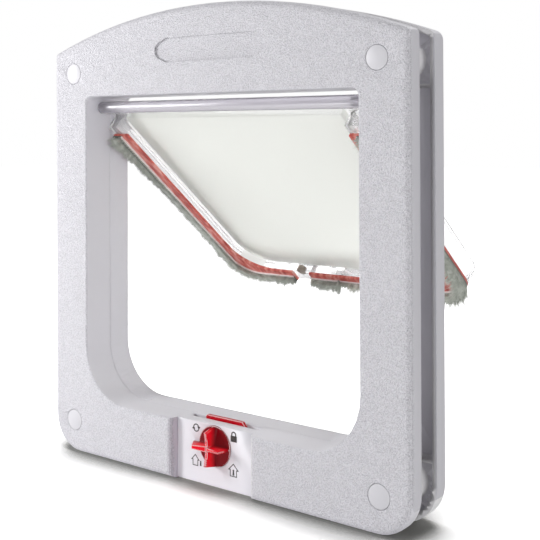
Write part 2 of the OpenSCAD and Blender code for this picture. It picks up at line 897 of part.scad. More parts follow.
// The hollow under the land, open to the outdoor side, solid at the magnets and the latch notch
module rim_core() {
    difference() {
        bib(land_out_half - rim_wall, rim_start + rim_wall, land_out_l - rim_wall, land_out_r - rim_wall);
        bib(land_in_half + rim_wall, 0, land_in_l + rim_wall, land_in_r);
        magnet_tabs_shape(magnet_tab_w);
        square_from([-notch_half - rim_wall, -flap_l], [notch_half + rim_wall, -flap_l * 3 / 4]);
    }
}

module flap_bores() {
    for (side = [-1, 1]) {
        translate([side * opening_w / 2, 0, 0])
            rotate([0, -side * 90, 0])
                cylinder(r = hinge_pin_r + snug, h = pin_in_bar + loose, $fn = arc_fn);
        translate([side * magnet_span / 2, -land_rise - over, -magnet_s])
            rotate([-90, 0, 0])
                cylinder(r = magnet_r + snug, h = land_rise + over - magnet_pocket, $fn = arc_fn);
    }
}

module hinge_pin(side) {
    color(steel)
    placed()
    translate([side * (opening_w / 2 - pin_in_bar), hinge_y, hinge_z])
        rotate([0, side * 90, 0])
            cylinder(r = hinge_pin_r, h = hinge_pin_l, $fn = arc_fn);
}

module flap_magnet(side) {
    color(magnet_metal)
    hung()
        translate([side * magnet_span / 2, -magnet_pocket, -magnet_s])
            rotate([90, 0, 0])
                cylinder(r = magnet_r, h = magnet_t, $fn = arc_fn);
}

// The part of a strip's flat outline on one side, or between the magnets when side is 0
module strip_part(side) {
    gap = magnet_span / 2 - magnet_tab_w / 2;
    far = magnet_span / 2 + magnet_tab_w / 2;
    intersection() {
        children();
        if (side == 0)
            square_from([-gap, -flap_l], [gap, -strip_start]);
        else
            square_from([side > 0 ? far : -flap_w, -flap_l], [side > 0 ? flap_w : -far, -strip_start]);
    }
}

module pile_outline() {
    difference() {
        bib(land_out_half, rim_start, land_out_l, land_out_r);
        bib(pile_in_half, 0, pile_in_l, pile_in_r);
    }
}

// The red strip that the pile is stuck down with
module adhesive_strip(side) {
    color(red_tape)
    hung()
        difference() {
            layer(land_rise, tape_top) strip_part(side) rim_outline();
            latch_notch();
        }
}

// The pile on its woven backing, lower along the sides than along the bottom
module pile_strip(side) {
    color(grey_pile)
    hung()
        difference() {
            union() {
                layer(tape_top, tape_top + pile_side_h) strip_part(side) pile_outline();
                layer(backing_top, tape_top + pile_low_h)
                    intersection() {
                        strip_part(side) pile_outline();
                        square_from([-flap_half, -flap_l], [flap_half, flap_corner_r - flap_l]);
                    }
            }
            latch_notch();
        }
}

front_frame();
rear_frame();
screw_cap(screw_places[0]);  // screw_cap_top_left
screw_cap(screw_places[1]);  // screw_cap_top_right
screw_cap(screw_places[2]);  // screw_cap_bottom_left
screw_cap(screw_places[3]);  // screw_cap_bottom_right
fixing_screw(screw_places[0]);  // fixing_screw_top_left
fixing_screw(screw_places[1]);  // fixing_screw_top_right
fixing_screw(screw_places[2]);  // fixing_screw_bottom_left
fixing_screw(screw_places[3]);  // fixing_screw_bottom_right
dial_knob();
latch_rotor();
dial_screw();
click_spring();
lock_cover();
threshold_magnet(-1);  // threshold_magnet_left
threshold_magnet(1);  // threshold_magnet_right
flap_panel();
hinge_pin(-1);  // hinge_pin_left
hinge_pin(1);  // hinge_pin_right
flap_magnet(-1);  // flap_magnet_left
flap_magnet(1);  // flap_magnet_right
adhesive_strip(-1);  // adhesive_strip_left
adhesive_strip(0);  // adhesive_strip_bottom
adhesive_strip(1);  // adhesive_strip_right
pile_strip(-1);  // pile_strip_left
pile_strip(0);  // pile_strip_bottom
pile_strip(1);  // pile_strip_right
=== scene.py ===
"""Looks of the cat flap: materials, pile, icons, floor, light and the camera."""
import json
import math
import random

import bmesh
import bpy
from mathutils import Matrix, Vector, noise


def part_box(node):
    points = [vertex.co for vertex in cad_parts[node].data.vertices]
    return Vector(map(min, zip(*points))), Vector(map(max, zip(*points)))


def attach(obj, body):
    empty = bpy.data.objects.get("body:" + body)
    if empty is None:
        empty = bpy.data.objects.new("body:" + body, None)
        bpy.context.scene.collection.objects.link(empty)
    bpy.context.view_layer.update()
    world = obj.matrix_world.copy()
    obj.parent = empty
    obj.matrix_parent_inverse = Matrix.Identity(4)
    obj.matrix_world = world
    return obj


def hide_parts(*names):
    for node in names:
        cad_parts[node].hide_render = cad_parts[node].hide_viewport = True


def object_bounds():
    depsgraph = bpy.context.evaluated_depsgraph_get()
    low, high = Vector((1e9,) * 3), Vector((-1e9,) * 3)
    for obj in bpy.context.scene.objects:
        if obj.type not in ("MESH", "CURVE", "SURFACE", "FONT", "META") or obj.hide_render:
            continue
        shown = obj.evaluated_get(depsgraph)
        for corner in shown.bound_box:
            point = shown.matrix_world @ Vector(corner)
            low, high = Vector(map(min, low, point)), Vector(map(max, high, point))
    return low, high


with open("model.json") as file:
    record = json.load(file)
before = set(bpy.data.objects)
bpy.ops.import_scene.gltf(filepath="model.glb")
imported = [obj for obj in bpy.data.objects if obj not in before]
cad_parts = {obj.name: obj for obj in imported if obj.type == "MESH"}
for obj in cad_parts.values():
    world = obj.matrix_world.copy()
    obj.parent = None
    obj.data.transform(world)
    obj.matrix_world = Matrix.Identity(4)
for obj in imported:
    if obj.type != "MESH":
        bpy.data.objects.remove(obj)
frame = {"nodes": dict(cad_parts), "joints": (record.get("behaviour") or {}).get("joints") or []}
cad_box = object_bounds()
nodes = frame["nodes"]
joints = {j["name"]: Vector(j["pos_m"]) for j in frame["joints"]}

HINGE = joints["flap_swing"]
DIAL = joints["dial_turn"]
OPEN = math.radians(51.0)
FLAP = Matrix.Translation(HINGE) @ Matrix.Rotation(OPEN, 4, "X")
TO_FLAP = FLAP.inverted()


def on_flap(x, n, s):
    """A place on the flap: n towards indoors from the hinge axis, s down from it, in millimetres."""
    return FLAP @ (Vector((x, -n, -s)) / 1000)


def local(node):
    """The corners of a flap node as (x, n, s) in millimetres."""
    out = []
    for v in nodes[node].data.vertices:
        p = TO_FLAP @ v.co * 1000
        out.append((p.x, -p.y, -p.z))
    return out


# Materials

class Shader:
    """A node material with one Principled shader."""

    def __init__(self, name, color, roughness, **sockets):
        self.mat = bpy.data.materials.new(name)
        self.mat.use_nodes = True
        self.tree = self.mat.node_tree
        self.bsdf = self.tree.nodes["Principled BSDF"]
        self.set("Base Color", (*color, 1.0))
        self.set("Roughness", roughness)
        for key, value in sockets.items():
            self.set(key.replace("_", " "), value)

    def set(self, socket, value):
        self.bsdf.inputs[socket].default_value = value

    def node(self, kind, **values):
        n = self.tree.nodes.new(kind)
        for key, value in values.items():
            setattr(n, key, value)
        return n

    def link(self, a, b):
        self.tree.links.new(a, b)

    def color(self, value):
        self.link(value, self.bsdf.inputs["Base Color"])

    def coords(self, scale=(1, 1, 1)):
        tex = self.node("ShaderNodeTexCoord")
        mapping = self.node("ShaderNodeMapping")
        mapping.inputs["Scale"].default_value = scale
        self.link(tex.outputs["Object"], mapping.inputs["Vector"])
        return mapping.outputs["Vector"]

    def split(self, vector):
        n = self.node("ShaderNodeSeparateXYZ")
        self.link(vector, n.inputs[0])
        return n.outputs

    def facing(self):
        """The surface's own direction in the frame, split into X, Y and Z."""
        return self.split(self.node("ShaderNodeTexCoord").outputs["Normal"])

    def math(self, operation, *values):
        n = self.node("ShaderNodeMath", operation=operation)
        for i, value in enumerate(values):
            if isinstance(value, (int, float)):
                n.inputs[i].default_value = value
            else:
                self.link(value, n.inputs[i])
        return n.outputs[0]

    def every(self, first, *rest):
        """The product of masks."""
        for value in rest:
            first = self.math("MULTIPLY", first, value)
        return first

    def along(self, vector, direction, offset):
        """How far a place lies along a direction, in millimetres from an offset."""
        n = self.node("ShaderNodeVectorMath", operation="DOT_PRODUCT")
        self.link(vector, n.inputs[0])
        n.inputs[1].default_value = tuple(c * 1000 for c in direction)
        return self.math("ADD", n.outputs["Value"], offset)

    def span(self, value, low, high):
        """0 below low, 1 above high, even between."""
        n = self.node("ShaderNodeMapRange")
        self.link(value, n.inputs["Value"])
        n.inputs["From Min"].default_value = low
        n.inputs["From Max"].default_value = high
        return n.outputs["Result"]

    def ramp(self, value, stops):
        n = self.node("ShaderNodeValToRGB")
        while len(n.color_ramp.elements) < len(stops):
            n.color_ramp.elements.new(0.5)
        for e, (pos, color) in zip(n.color_ramp.elements, stops):
            e.position = pos
            e.color = (*color, 1.0)
        self.link(value, n.inputs["Fac"])
        return n.outputs["Color"]

    def mix(self, fac, a, b, blend="MIX"):
        n = self.node("ShaderNodeMix", data_type="RGBA", blend_type=blend)
        for socket, value in ((n.inputs["Factor"], fac), (n.inputs[6], a), (n.inputs[7], b)):
            if isinstance(value, (int, float)):
                socket.default_value = value
            elif isinstance(value, tuple):
                socket.default_value = (*value, 1.0)
            else:
                self.link(value, socket)
        return n.outputs[2]

    def noise(self, vector, scale, detail=3.0, rough=0.5):
        n = self.node("ShaderNodeTexNoise")
        n.inputs["Scale"].default_value = scale
        n.inputs["Detail"].default_value = detail
        n.inputs["Roughness"].default_value = rough
        self.link(vector, n.inputs["Vector"])
        return n.outputs["Fac"]

    def voronoi(self, vector, scale, feature="F1"):
        n = self.node("ShaderNodeTexVoronoi", feature=feature)
        n.inputs["Scale"].default_value = scale
        self.link(vector, n.inputs["Vector"])
        return n.outputs["Distance"]

    def bump(self, height, strength, distance, normal=None):
        n = self.node("ShaderNodeBump")
        n.inputs["Distance"].default_value = distance
        if isinstance(strength, (int, float)):
            n.inputs["Strength"].default_value = strength
        else:
            self.link(strength, n.inputs["Strength"])
        self.link(height, n.inputs["Height"])
        if normal is not None:
            self.link(normal, n.inputs["Normal"])
        self.link(n.outputs["Normal"], self.bsdf.inputs["Normal"])

    def edge_mask(self, rounded):
        """1 along the edges that soft_edges rounds off, 0 on flat faces."""
        n = self.node("ShaderNodeVectorMath", operation="DOT_PRODUCT")
        self.link(rounded, n.inputs[0])
        self.link(self.node("ShaderNodeNewGeometry").outputs["Normal"], n.inputs[1])
        return self.span(n.outputs["Value"], 0.99, 0.95)

    def soft_edges(self, radius):
        n = self.node("ShaderNodeBevel", samples=6)
        n.inputs["Radius"].default_value = radius
        self.link(n.outputs["Normal"], self.bsdf.inputs["Normal"])
        return n.outputs["Normal"]


def gap_light_mask(s, place, turn):
    """1 on what lies between the frames, where the white plastic is painted lighter as painted light."""
    x, z = s.math("ABSOLUTE", place["X"]), s.math("ABSOLUTE", place["Z"])
    outside = s.every(s.math("GREATER_THAN", place["Z"], ARCH_LOW), s.math("GREATER_THAN", turn["Z"], 0.5))
    return s.every(
        s.math("LESS_THAN", x, SIDE_WALL),
        s.math("GREATER_THAN", place["Y"], GAP_FRONT), s.math("LESS_THAN", place["Y"], GAP_BACK),
        s.math("MAXIMUM", s.math("GREATER_THAN", x, TUNNEL_HALF), s.math("GREATER_THAN", z, TUNNEL_HIGH)),
        s.math("SUBTRACT", 1.0, outside))


def side_wall_shade(s, place, turn):
    """1 on the frames' outer side walls, which are painted darker as painted shade."""
    return s.every(s.math("GREATER_THAN", s.math("ABSOLUTE", place["X"]), SIDE_WALL),
                   s.math("GREATER_THAN", s.math("ABSOLUTE", turn["X"]), 0.8))


def white_plastic(name, color, grained, edge=0.0006):
    s = Shader(name, color, 0.42, Specular_IOR_Level=0.4)
    here = s.coords()
    low = tuple(c * 0.965 for c in color)
    place, turn = s.split(here), s.facing()
    plain = s.ramp(s.noise(here, 9.0, 2.0), [(0.3, low), (0.7, color)])
    # painted light: what lies between the frames is painted lighter
    plain = s.mix(gap_light_mask(s, place, turn), plain, GAP_PAINTED_LIGHT)
    # painted shade: the outer side walls darker
    plain = s.mix(side_wall_shade(s, place, turn), plain, tuple(c * 0.84 for c in color))
    edges = s.soft_edges(edge)
    if not grained:
        s.color(plain)
        s.bump(s.noise(here, 900.0, 2.0), 0.05, 0.0001, edges)
        return s.mat
    # leather grain on what faces indoors, but not on the smooth lock panel or in the recess
    facing = s.span(s.math("MULTIPLY", turn["Y"], -1.0), 0.25, 0.6)
    side = s.math("GREATER_THAN", s.math("ABSOLUTE", place["X"]), PANEL_HALF)
    above = s.math("GREATER_THAN", place["Z"], PANEL_TOP)
    panel = s.every(s.math("SUBTRACT", 1.0, side), s.math("SUBTRACT", 1.0, above),
                    s.math("LESS_THAN", turn["Y"], -0.5))
    # painted light: the smooth lock panel lighter than the grained face
    plain = s.mix(panel, plain, tuple(min(c * 1.1, 0.96) for c in color))
    # painted shade: the block's rounded side facing +X beside the lock panel darker and mauve
    block_end_shade = s.every(s.span(turn["X"], 0.05, 0.6), s.math("SUBTRACT", 1.0, above),
                  s.math("LESS_THAN", s.math("ABSOLUTE", place["X"]), BLOCK_END),
                  s.math("LESS_THAN", place["Y"], GAP_FRONT))
    plain = s.mix(block_end_shade, plain, (0.54, 0.505, 0.57))
    # painted highlight: the block's rounded side facing -X beside the lock panel lighter
    lit = s.every(s.span(s.math("MULTIPLY", turn["X"], -1.0), 0.2, 0.6), side, s.math("SUBTRACT", 1.0, above),
                  s.math("LESS_THAN", s.math("ABSOLUTE", place["X"]), BLOCK_EDGE),
                  s.math("LESS_THAN", place["Y"], GAP_FRONT))
    plain = s.mix(lit, plain, (0.98, 0.97, 0.99))
    front = s.math("LESS_THAN", place["Y"], GRAIN_BACK)
    where = s.math("MULTIPLY", s.math("MULTIPLY", facing, s.math("MAXIMUM", side, above)), front)
    wander = s.noise(here, 1500.0, 2.0, 0.5)
    cells = s.voronoi(here, 1700.0, "SMOOTH_F1")
    height = s.math("ADD", s.math("MULTIPLY", cells, 0.7), wander)
    s.bump(height, where, 0.0009, edges)
    # painted shade in the grain's hollows and painted light on its raised tops
    grain_cavity_shade = s.ramp(height, [(0.6, (0.90, 0.90, 0.905)), (0.9, (1.12, 1.12, 1.12))])
    s.color(s.mix(where, plain, s.mix(1.0, plain, grain_cavity_shade, "MULTIPLY")))
    s.link(s.math("MULTIPLY_ADD", where, 0.16, 0.40), s.bsdf.inputs["Roughness"])
    return s.mat


def clear_plastic(name, color, roughness, transmission, ior):
    s = Shader(name, color, roughness, Transmission_Weight=transmission, IOR=ior, Specular_IOR_Level=0.5)
    s.bump(s.noise(s.coords(), 60.0, 2.0), 0.12, 0.0004)
    return s.mat


def red_plastic(name, front, back):
    """Red gloss plastic with painted shade in its depths, away from the grip's front edges, and a painted
    highlight along those edges and the disc's rim.
    """
    s = Shader(name, (0.60, 0.003, 0.012), 0.28, Specular_IOR_Level=0.2)
    here = s.coords()
    place = s.split(here)
    deep = s.span(place["Y"], front, back)
    # painted shade: darker the deeper a place lies behind the grip's front
    depth_shade = s.ramp(deep, [(0.0, (1.0, 0.002, 0.022)), (0.5, (0.92, 0.0, 0.012)), (0.8, (0.50, 0.0, 0.008)),
                         (1.0, (0.24, 0.0, 0.006))])
    cloud = s.ramp(s.noise(here, 120.0, 2.0), [(0.3, (0.92, 0.92, 0.92)), (0.7, (1.0, 1.0, 1.0))])
    across = s.math("ADD", s.math("POWER", s.math("SUBTRACT", place["X"], DIAL.x), 2.0),
                    s.math("POWER", s.math("SUBTRACT", place["Z"], DIAL.z), 2.0))
    rim = s.math("GREATER_THAN", across, DISC_RIM ** 2)
    # painted highlight: pale pink on the rounded edges near the grip's front and on the disc's rim
    edge_highlight = s.math("MULTIPLY", s.edge_mask(s.soft_edges(0.0008)),
                  s.math("MAXIMUM", s.span(deep, 0.6, 0.45), rim))
    edges = s.soft_edges(0.0003)
    s.color(s.mix(edge_highlight, s.mix(1.0, depth_shade, cloud, "MULTIPLY"), (1.0, 0.72, 0.74)))
    s.bump(s.noise(here, 1200.0, 2.0), 0.05, 0.0001, edges)
    return s.mat


def red_strip():
    s = Shader("red_strip", (0.58, 0.08, 0.06), 0.35, Specular_IOR_Level=0.5, Coat_Weight=0.2)
    streaks = s.noise(s.coords((1.0, 0.25, 0.25)), 420.0, 3.0)
    s.color(s.ramp(streaks, [(0.3, (0.44, 0.04, 0.035)), (0.5, (0.70, 0.13, 0.10)),
                             (0.75, (0.92, 0.46, 0.40))]))
    s.bump(s.noise(s.coords(), 500.0, 3.0), 0.2, 0.0003)
    return s.mat


def depth_of_pile(s, here):
    """Height above the red strip in millimetres."""
    n = FLAP.to_3x3() @ Vector((0.0, -1.0, 0.0))
    return s.along(here, n, -TAPE_TOP - 1000 * HINGE.dot(n))


def pile_material():
    s = Shader("pile_fibre", (0.36, 0.38, 0.34), 0.85, Sheen_Weight=0.5, Sheen_Roughness=0.6)
    here = s.coords()
    tufts = s.ramp(s.noise(here, 300.0, 4.0, 0.7),
                   [(0.28, (0.40, 0.43, 0.37)), (0.5, (0.64, 0.67, 0.60)), (0.72, (0.90, 0.92, 0.86))])
    # painted shade: the pile darker near its roots, lighter towards its tips
    shade = s.ramp(s.span(depth_of_pile(s, here), 0.6, 4.5), [(0.0, (0.5, 0.5, 0.5)), (0.4, (0.9, 0.9, 0.9)),
                                                             (1.0, (1.1, 1.1, 1.1))])
    s.color(s.mix(1.0, tufts, shade, "MULTIPLY"))
    s.bump(s.noise(here, 1500.0, 2.0), 0.3, 0.0002)
    return s.mat


def backing_material():
    s = Shader("woven_backing", (0.13, 0.14, 0.12), 0.9, Sheen_Weight=0.2)
    here = s.coords()
    weave = s.noise(here, 1400.0, 2.0)
    s.color(s.ramp(weave, [(0.3, (0.07, 0.08, 0.065)), (0.7, (0.22, 0.24, 0.20))]))
    s.bump(weave, 0.7, 0.0004)
    return s.mat


def thread():
    s = Shader("light_thread", (0.72, 0.70, 0.64), 0.8, Sheen_Weight=0.3)
    here = s.coords()
    s.color(s.ramp(s.noise(here, 900.0, 2.0), [(0.3, (0.55, 0.53, 0.48)), (0.7, (0.82, 0.80, 0.75))]))
    s.bump(s.noise(here, 2500.0, 2.0), 0.3, 0.0001)
    return s.mat


def film():
    s = Shader("film_edge", (0.85, 0.74, 0.72), 0.3, Specular_IOR_Level=0.5)
    here = s.coords()
    s.color(s.ramp(s.noise(here, 260.0, 3.0), [(0.3, (0.90, 0.74, 0.72)), (0.5, (0.98, 0.96, 0.95))]))
    s.bump(s.noise(here, 800.0, 2.0), 0.15, 0.0001)
    return s.mat


def metal(name, color, roughness, fleck):
    s = Shader(name, color, roughness, Metallic=1.0)
    spots = s.noise(s.coords(), fleck, 4.0, 0.6)
    dark = tuple(c * 0.7 for c in color)
    s.color(s.ramp(spots, [(0.35, dark), (0.65, color)]))
    s.bump(spots, 0.15, 0.0002)
    return s.mat


def ink():
    s = Shader("icon_ink", (0.045, 0.04, 0.04), 0.5)
    s.bump(s.noise(s.coords(), 1500.0, 2.0), 0.1, 0.0001)
    s.color(s.ramp(s.noise(s.coords(), 900.0, 3.0), [(0.3, (0.03, 0.028, 0.028)), (0.7, (0.075, 0.07, 0.07))]))
    return s.mat


# Sizes in metres that the grain, the painted shade and highlight beside the lock panel, and the red plastic's
# painted shade and highlights follow
PANEL_HALF = 0.0262
PANEL_TOP = DIAL.z + 0.0125
GRAIN_BACK = -0.0042
GRIP_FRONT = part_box("dial_knob")[0][1]
DISC_FRONT = -0.0039
DISC_RIM = 0.0101
BLOCK_END = 0.036
BLOCK_EDGE = 0.0315
# Limits in metres of the gap between the frames, whose plastic is painted lighter as painted light, and of their
# outer walls, painted darker as painted shade
SIDE_WALL = 0.119
GAP_FRONT = -0.001
GAP_BACK = 0.0215
TUNNEL_HALF = 0.0931
TUNNEL_HIGH = 0.0875
ARCH_LOW = 0.105
# Limits in millimetres of the flap's bar and pane
BAR_R = 3.7
BAR_HALF = 83
PANE_HALF = 73.8
PANE_START = 5.0
PANE_LOW = 151.5
PANE_BACK = 2.2

tape = local("adhesive_strip_left")
tape_low = local("adhesive_strip_bottom")
band = local("pile_strip_left")
band_low = local("pile_strip_bottom")
TAPE_TOP = max(n for _, n, _ in tape)
LAND_HALF = max(-x for x, _, _ in tape)
LAND_LOW = max(s for _, _, s in tape_low)
STRIP_START = min(s for _, _, s in tape)
BAND_HALF = min(-x for x, _, s in band if s < 100)
BAND_LOW = min(s for _, _, s in band_low)
STRIP_END = min(-x for x, _, _ in tape)
MIDDLE_END = max(x for x, _, _ in tape_low)
LAND_R = 21.6
BACKING = 0.8

# painted light: the plastic between the frames gets this lighter colour
GAP_PAINTED_LIGHT = (0.97, 0.96, 0.975)
SHELL = (0.82, 0.808, 0.856)
MAT = {
    "front": white_plastic("shell_grained", SHELL, True),
    "smooth": white_plastic("shell_smooth", (0.77, 0.76, 0.80), False, 0.0003),
    "rear": white_plastic("shell_rear", SHELL, False),
    "rim": clear_plastic("clear_rim", (0.98, 0.975, 0.98), 0.16, 0.85, 1.25),
    "pane": clear_plastic("clear_pane", (0.87, 0.88, 0.845), 0.34, 0.76, 1.3),
    "bar": clear_plastic("clear_bar", (0.55, 0.53, 0.58), 0.15, 0.6, 1.45),
    "red": red_plastic("red_gloss", GRIP_FRONT, DISC_FRONT),
    "red_latch": red_plastic("red_latch", -0.02, 0.012),
    "strip": red_strip(),
    "pile": pile_material(),
    "backing": backing_material(),
    "thread": thread(),
    "film": film(),
    "steel": metal("plated_steel", (0.62, 0.62, 0.63), 0.3, 400.0),
    "magnet": metal("magnet_metal", (0.42, 0.36, 0.31), 0.38, 600.0),
    "ink": ink(),
}


# Pieces

def add(name, mesh, body, mats):
    """A new piece with a mesh in the frame's metres, on a body."""
    for m in mats:
        mesh.materials.append(MAT[m])
    obj = bpy.data.objects.new(name, mesh)
    bpy.context.scene.collection.objects.link(obj)
    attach(obj, body)
    return obj


def finer(node, name, body, mats, pick=None, angle=34):
    """A copy of a CAD node's mesh with its facets shaded as the round surfaces that they stand for."""
    bm = bmesh.new()
    bm.from_mesh(nodes[node].data)
    bmesh.ops.remove_doubles(bm, verts=bm.verts, dist=2e-6)
    bmesh.ops.dissolve_degenerate(bm, edges=bm.edges, dist=1e-7)
    for face in bm.faces:
        face.smooth = True
        face.material_index = pick(face) if pick else 0
    mesh = bpy.data.meshes.new(name)
    bm.to_mesh(mesh)
    bm.free()
    mesh.set_sharp_from_angle(angle=math.radians(angle))
    obj = add(name, mesh, body, mats)
    mod = obj.modifiers.new("weighted", "WEIGHTED_NORMAL")
    mod.mode = "FACE_AREA"
    mod.keep_sharp = True
    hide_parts(node)
    return obj


def rim_pane_or_bar(face):
    """Which clear material a face of the flap gets, by its middle in the flap's millimetres."""
    p = TO_FLAP @ face.calc_center_median() * 1000
    if math.hypot(p.y, p.z) < BAR_R and abs(p.x) < BAR_HALF:
        return 2
    return 1 if abs(p.x) < PANE_HALF and -PANE_LOW < p.z < -PANE_START and p.y < PANE_BACK else 0


finer("front_frame", "front_shell", "frame", ["front"])
finer("rear_frame", "rear_shell", "frame", ["rear"])
finer("flap_panel", "flap_clear", "flap", ["rim", "pane", "bar"], rim_pane_or_bar)
for corner in ("top_left", "top_right", "bottom_left", "bottom_right"):
    finer("screw_cap_" + corner, "cap_" + corner, "frame", ["smooth"], angle=25)
finer("dial_knob", "dial", "dial", ["red"], angle=25)
finer("latch_rotor", "latch", "dial", ["red_latch"], angle=25)

for node, mat in (
        ("lock_cover", "rear"), ("dial_screw", "steel"), ("click_spring", "steel"),
        ("hinge_pin_left", "steel"), ("hinge_pin_right", "steel"),
        ("fixing_screw_top_left", "steel"), ("fixing_screw_top_right", "steel"),
        ("fixing_screw_bottom_left", "steel"), ("fixing_screw_bottom_right", "steel"),
        ("threshold_magnet_left", "magnet"), ("threshold_magnet_right", "magnet"),
        ("flap_magnet_left", "magnet"), ("flap_magnet_right", "magnet"),
        ("adhesive_strip_left", "strip"), ("adhesive_strip_bottom", "strip"), ("adhesive_strip_right", "strip")):
    data = nodes[node].data
    data.materials.clear()
    data.materials.append(MAT[mat])


# Pile

# The notch that the latch passes, in millimetres on the flap
GATE = (-4.7, 13.7)
GATE_LOW = 158.7
# Height of the pile, by distance along the flap for the sides and by place for the bottom
LEFT_HEIGHTS = [(14, 5.2), (22, 4.8), (34, 3.8), (60, 2.0), (105, 1.5), (128, 2.3), (146, 3.8), (163, 5.0)]
LEFT_BARE = [(14, 0.1), (19, 0.5), (58, 0.5), (72, 0.2), (163, 0.12)]
RIGHT_HEIGHTS = [(14, 5.0), (40, 4.6), (80, 4.8), (110, 5.8), (135, 7.6), (150, 8.4), (163, 8.4)]
BOTTOM_HEIGHTS = [(-26, 6.0), (0, 7.0), (26, 8.0)]


def between(table, x):
    """The value of a table at x, even between its places."""
    for (x0, y0), (x1, y1) in zip(table, table[1:]):
        if x <= x1:
            return y0 + (y1 - y0) * min(max((x - x0) / (x1 - x0), 0.0), 1.0)
    return table[-1][1]


def strip_path(side):
    """Points (x, s, outward x, outward s, width, height) along the outer edge of a pile strip."""
    out = []
    if side:
        heights = LEFT_HEIGHTS if side < 0 else RIGHT_HEIGHTS
        s = STRIP_START
        while s < LAND_LOW - LAND_R:
            out.append((LAND_HALF, s, 1.0, 0.0))
            s += 1.0
        for i in range(35):
            a = math.radians(90.0 * i / 34)
            out.append((LAND_HALF - LAND_R + LAND_R * math.cos(a), LAND_LOW - LAND_R + LAND_R * math.sin(a),
                        math.cos(a), math.sin(a)))
        x = LAND_HALF - LAND_R - 1.0
        while x > STRIP_END:
            out.append((x, LAND_LOW, 0.0, 1.0))
            x -= 1.0
        side_w, low_w = LAND_HALF - BAND_HALF, LAND_LOW - BAND_LOW
        return [(side * x, s, side * ox, os, side_w + (low_w - side_w) * os, between(heights, s))
                for x, s, ox, os in out]
    x = -MIDDLE_END
    while x <= MIDDLE_END:
        low = GATE_LOW if GATE[0] < x < GATE[1] else LAND_LOW
        out.append((x, low, 0.0, 1.0, low - BAND_LOW, between(BOTTOM_HEIGHTS, x)))
        x += 1.0
    return out


def lumps(x, s, seed):
    """How full the pile is at a place, from 0.5 to 1.25, in soft clumps."""
    v = noise.noise(Vector((x * 0.13, s * 0.13, seed)))
    w = noise.noise(Vector((x * 0.42, s * 0.42, seed + 7.0)))
    return max(0.45, 0.9 + 0.42 * v + 0.3 * w)


def pile_piece(name, node, side, per_mm2, seed):
    rnd = random.Random(seed)
    path = strip_path(side)
    verts, faces = [], []

    def bare(s):
        return between(LEFT_BARE, s) if side < 0 else 0.12

    # the dense lower part of the pile: a lumpy body under the fibres
    for i, p in enumerate(path):
        width = p[4]
        for k in range(9):
            t = (1 - bare(p[1])) * k / 8
            bulge = math.sin(math.pi * k / 8)
            x, s = p[0] - p[2] * width * t, p[1] - p[3] * width * t
            full = lumps(x, s, seed)
            n = TAPE_TOP + BACKING + p[5] * 0.55 * full * min(1.0, 2.2 * bulge)
            verts.append(on_flap(x, n, s))
            if i and k:
                a = (i - 1) * 9 + k - 1
                quad = (a, a + 1, a + 10, a + 9)
                faces.append(quad if side >= 0 else quad[::-1])

    for a, b in zip(path, path[1:]):
        length = math.hypot(b[0] - a[0], b[1] - a[1])
        width, height = a[4], a[5]
        ox, os = a[2], a[3]
        for _ in range(int(length * width * per_mm2 + rnd.random())):
            t, u = rnd.random(), rnd.random() * (1 - bare(a[1]))
            x = a[0] + (b[0] - a[0]) * t - ox * width * u
            s = a[1] + (b[1] - a[1]) * t - os * width * u
            start = max(0.0, 1.0 - (s - STRIP_START) / 9.0) if side else 0.0
            long = height * lumps(x, s, seed) * rnd.uniform(0.78, 1.2)
            splay = (0.42 - u) * 1.1 + rnd.gauss(0.0, 0.2) - 0.1 * start
            along = 0.6 * noise.noise(Vector((x * 0.3, s * 0.3, seed + 3.0))) + rnd.gauss(0.0, 0.16) - 0.5 * start
            lean = Vector((ox * splay - os * along * (side or 1), 0.0, os * splay + abs(ox) * along))
            root = Vector((x, TAPE_TOP + BACKING - 0.2, s))
            mid = root + Vector((lean.x * 0.32, 0.55, lean.z * 0.32)) * long
            tip = root + Vector((lean.x * 0.95, 0.93, lean.z * 0.95)) * long
            tip.x = math.copysign(min(abs(tip.x), SIDE_REACH), tip.x)
            far = math.hypot(tip.y, tip.z)
            if far > REACH:
                tip.y *= REACH / far
                tip.z *= REACH / far
            thick = rnd.uniform(0.11, 0.2)
            spin = rnd.uniform(0, math.tau)
            base = len(verts)
            for centre, r in ((root, thick), (mid, thick * 0.8)):
                for k in range(3):
                    w = spin + math.tau * k / 3
                    verts.append(on_flap(centre.x + r * math.cos(w), centre.y, centre.z + r * math.sin(w)))
            verts.append(on_flap(tip.x, tip.y, tip.z))
            for k in range(3):
                j = (k + 1) % 3
                faces.append((base + k, base + j, base + 3 + j, base + 3 + k))
                faces.append((base + 3 + k, base + 3 + j, base + 6))
    mesh = bpy.data.meshes.new(name)
    mesh.from_pydata([tuple(v) for v in verts], [], faces)
    mesh.polygons.foreach_set("use_smooth", [True] * len(mesh.polygons))
    mesh.update()
    obj = add(name, mesh, "flap", ["pile"])
    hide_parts(node)


def ribbon(bm, path, d0, d1, n0, n1):
    """A flat band between two distances in from the outer edge and two heights."""
    rows = []
    for p in path:
        row = []
        for d, n in ((d0, n0), (d0, n1), (d1, n1), (d1, n0)):
            d = p[4] + d if d <= 0 else d
            row.append(bm.verts.new(on_flap(p[0] - p[2] * d, n, p[1] - p[3] * d)))
        rows.append(row)
    made = [bm.faces.new(rows[0]), bm.faces.new(rows[-1][::-1])]
    for a, b in zip(rows, rows[1:]):
        for k in range(4):
            j = (k + 1) % 4
            made.append(bm.faces.new((a[k], a[j], b[j], b[k])))
    return made


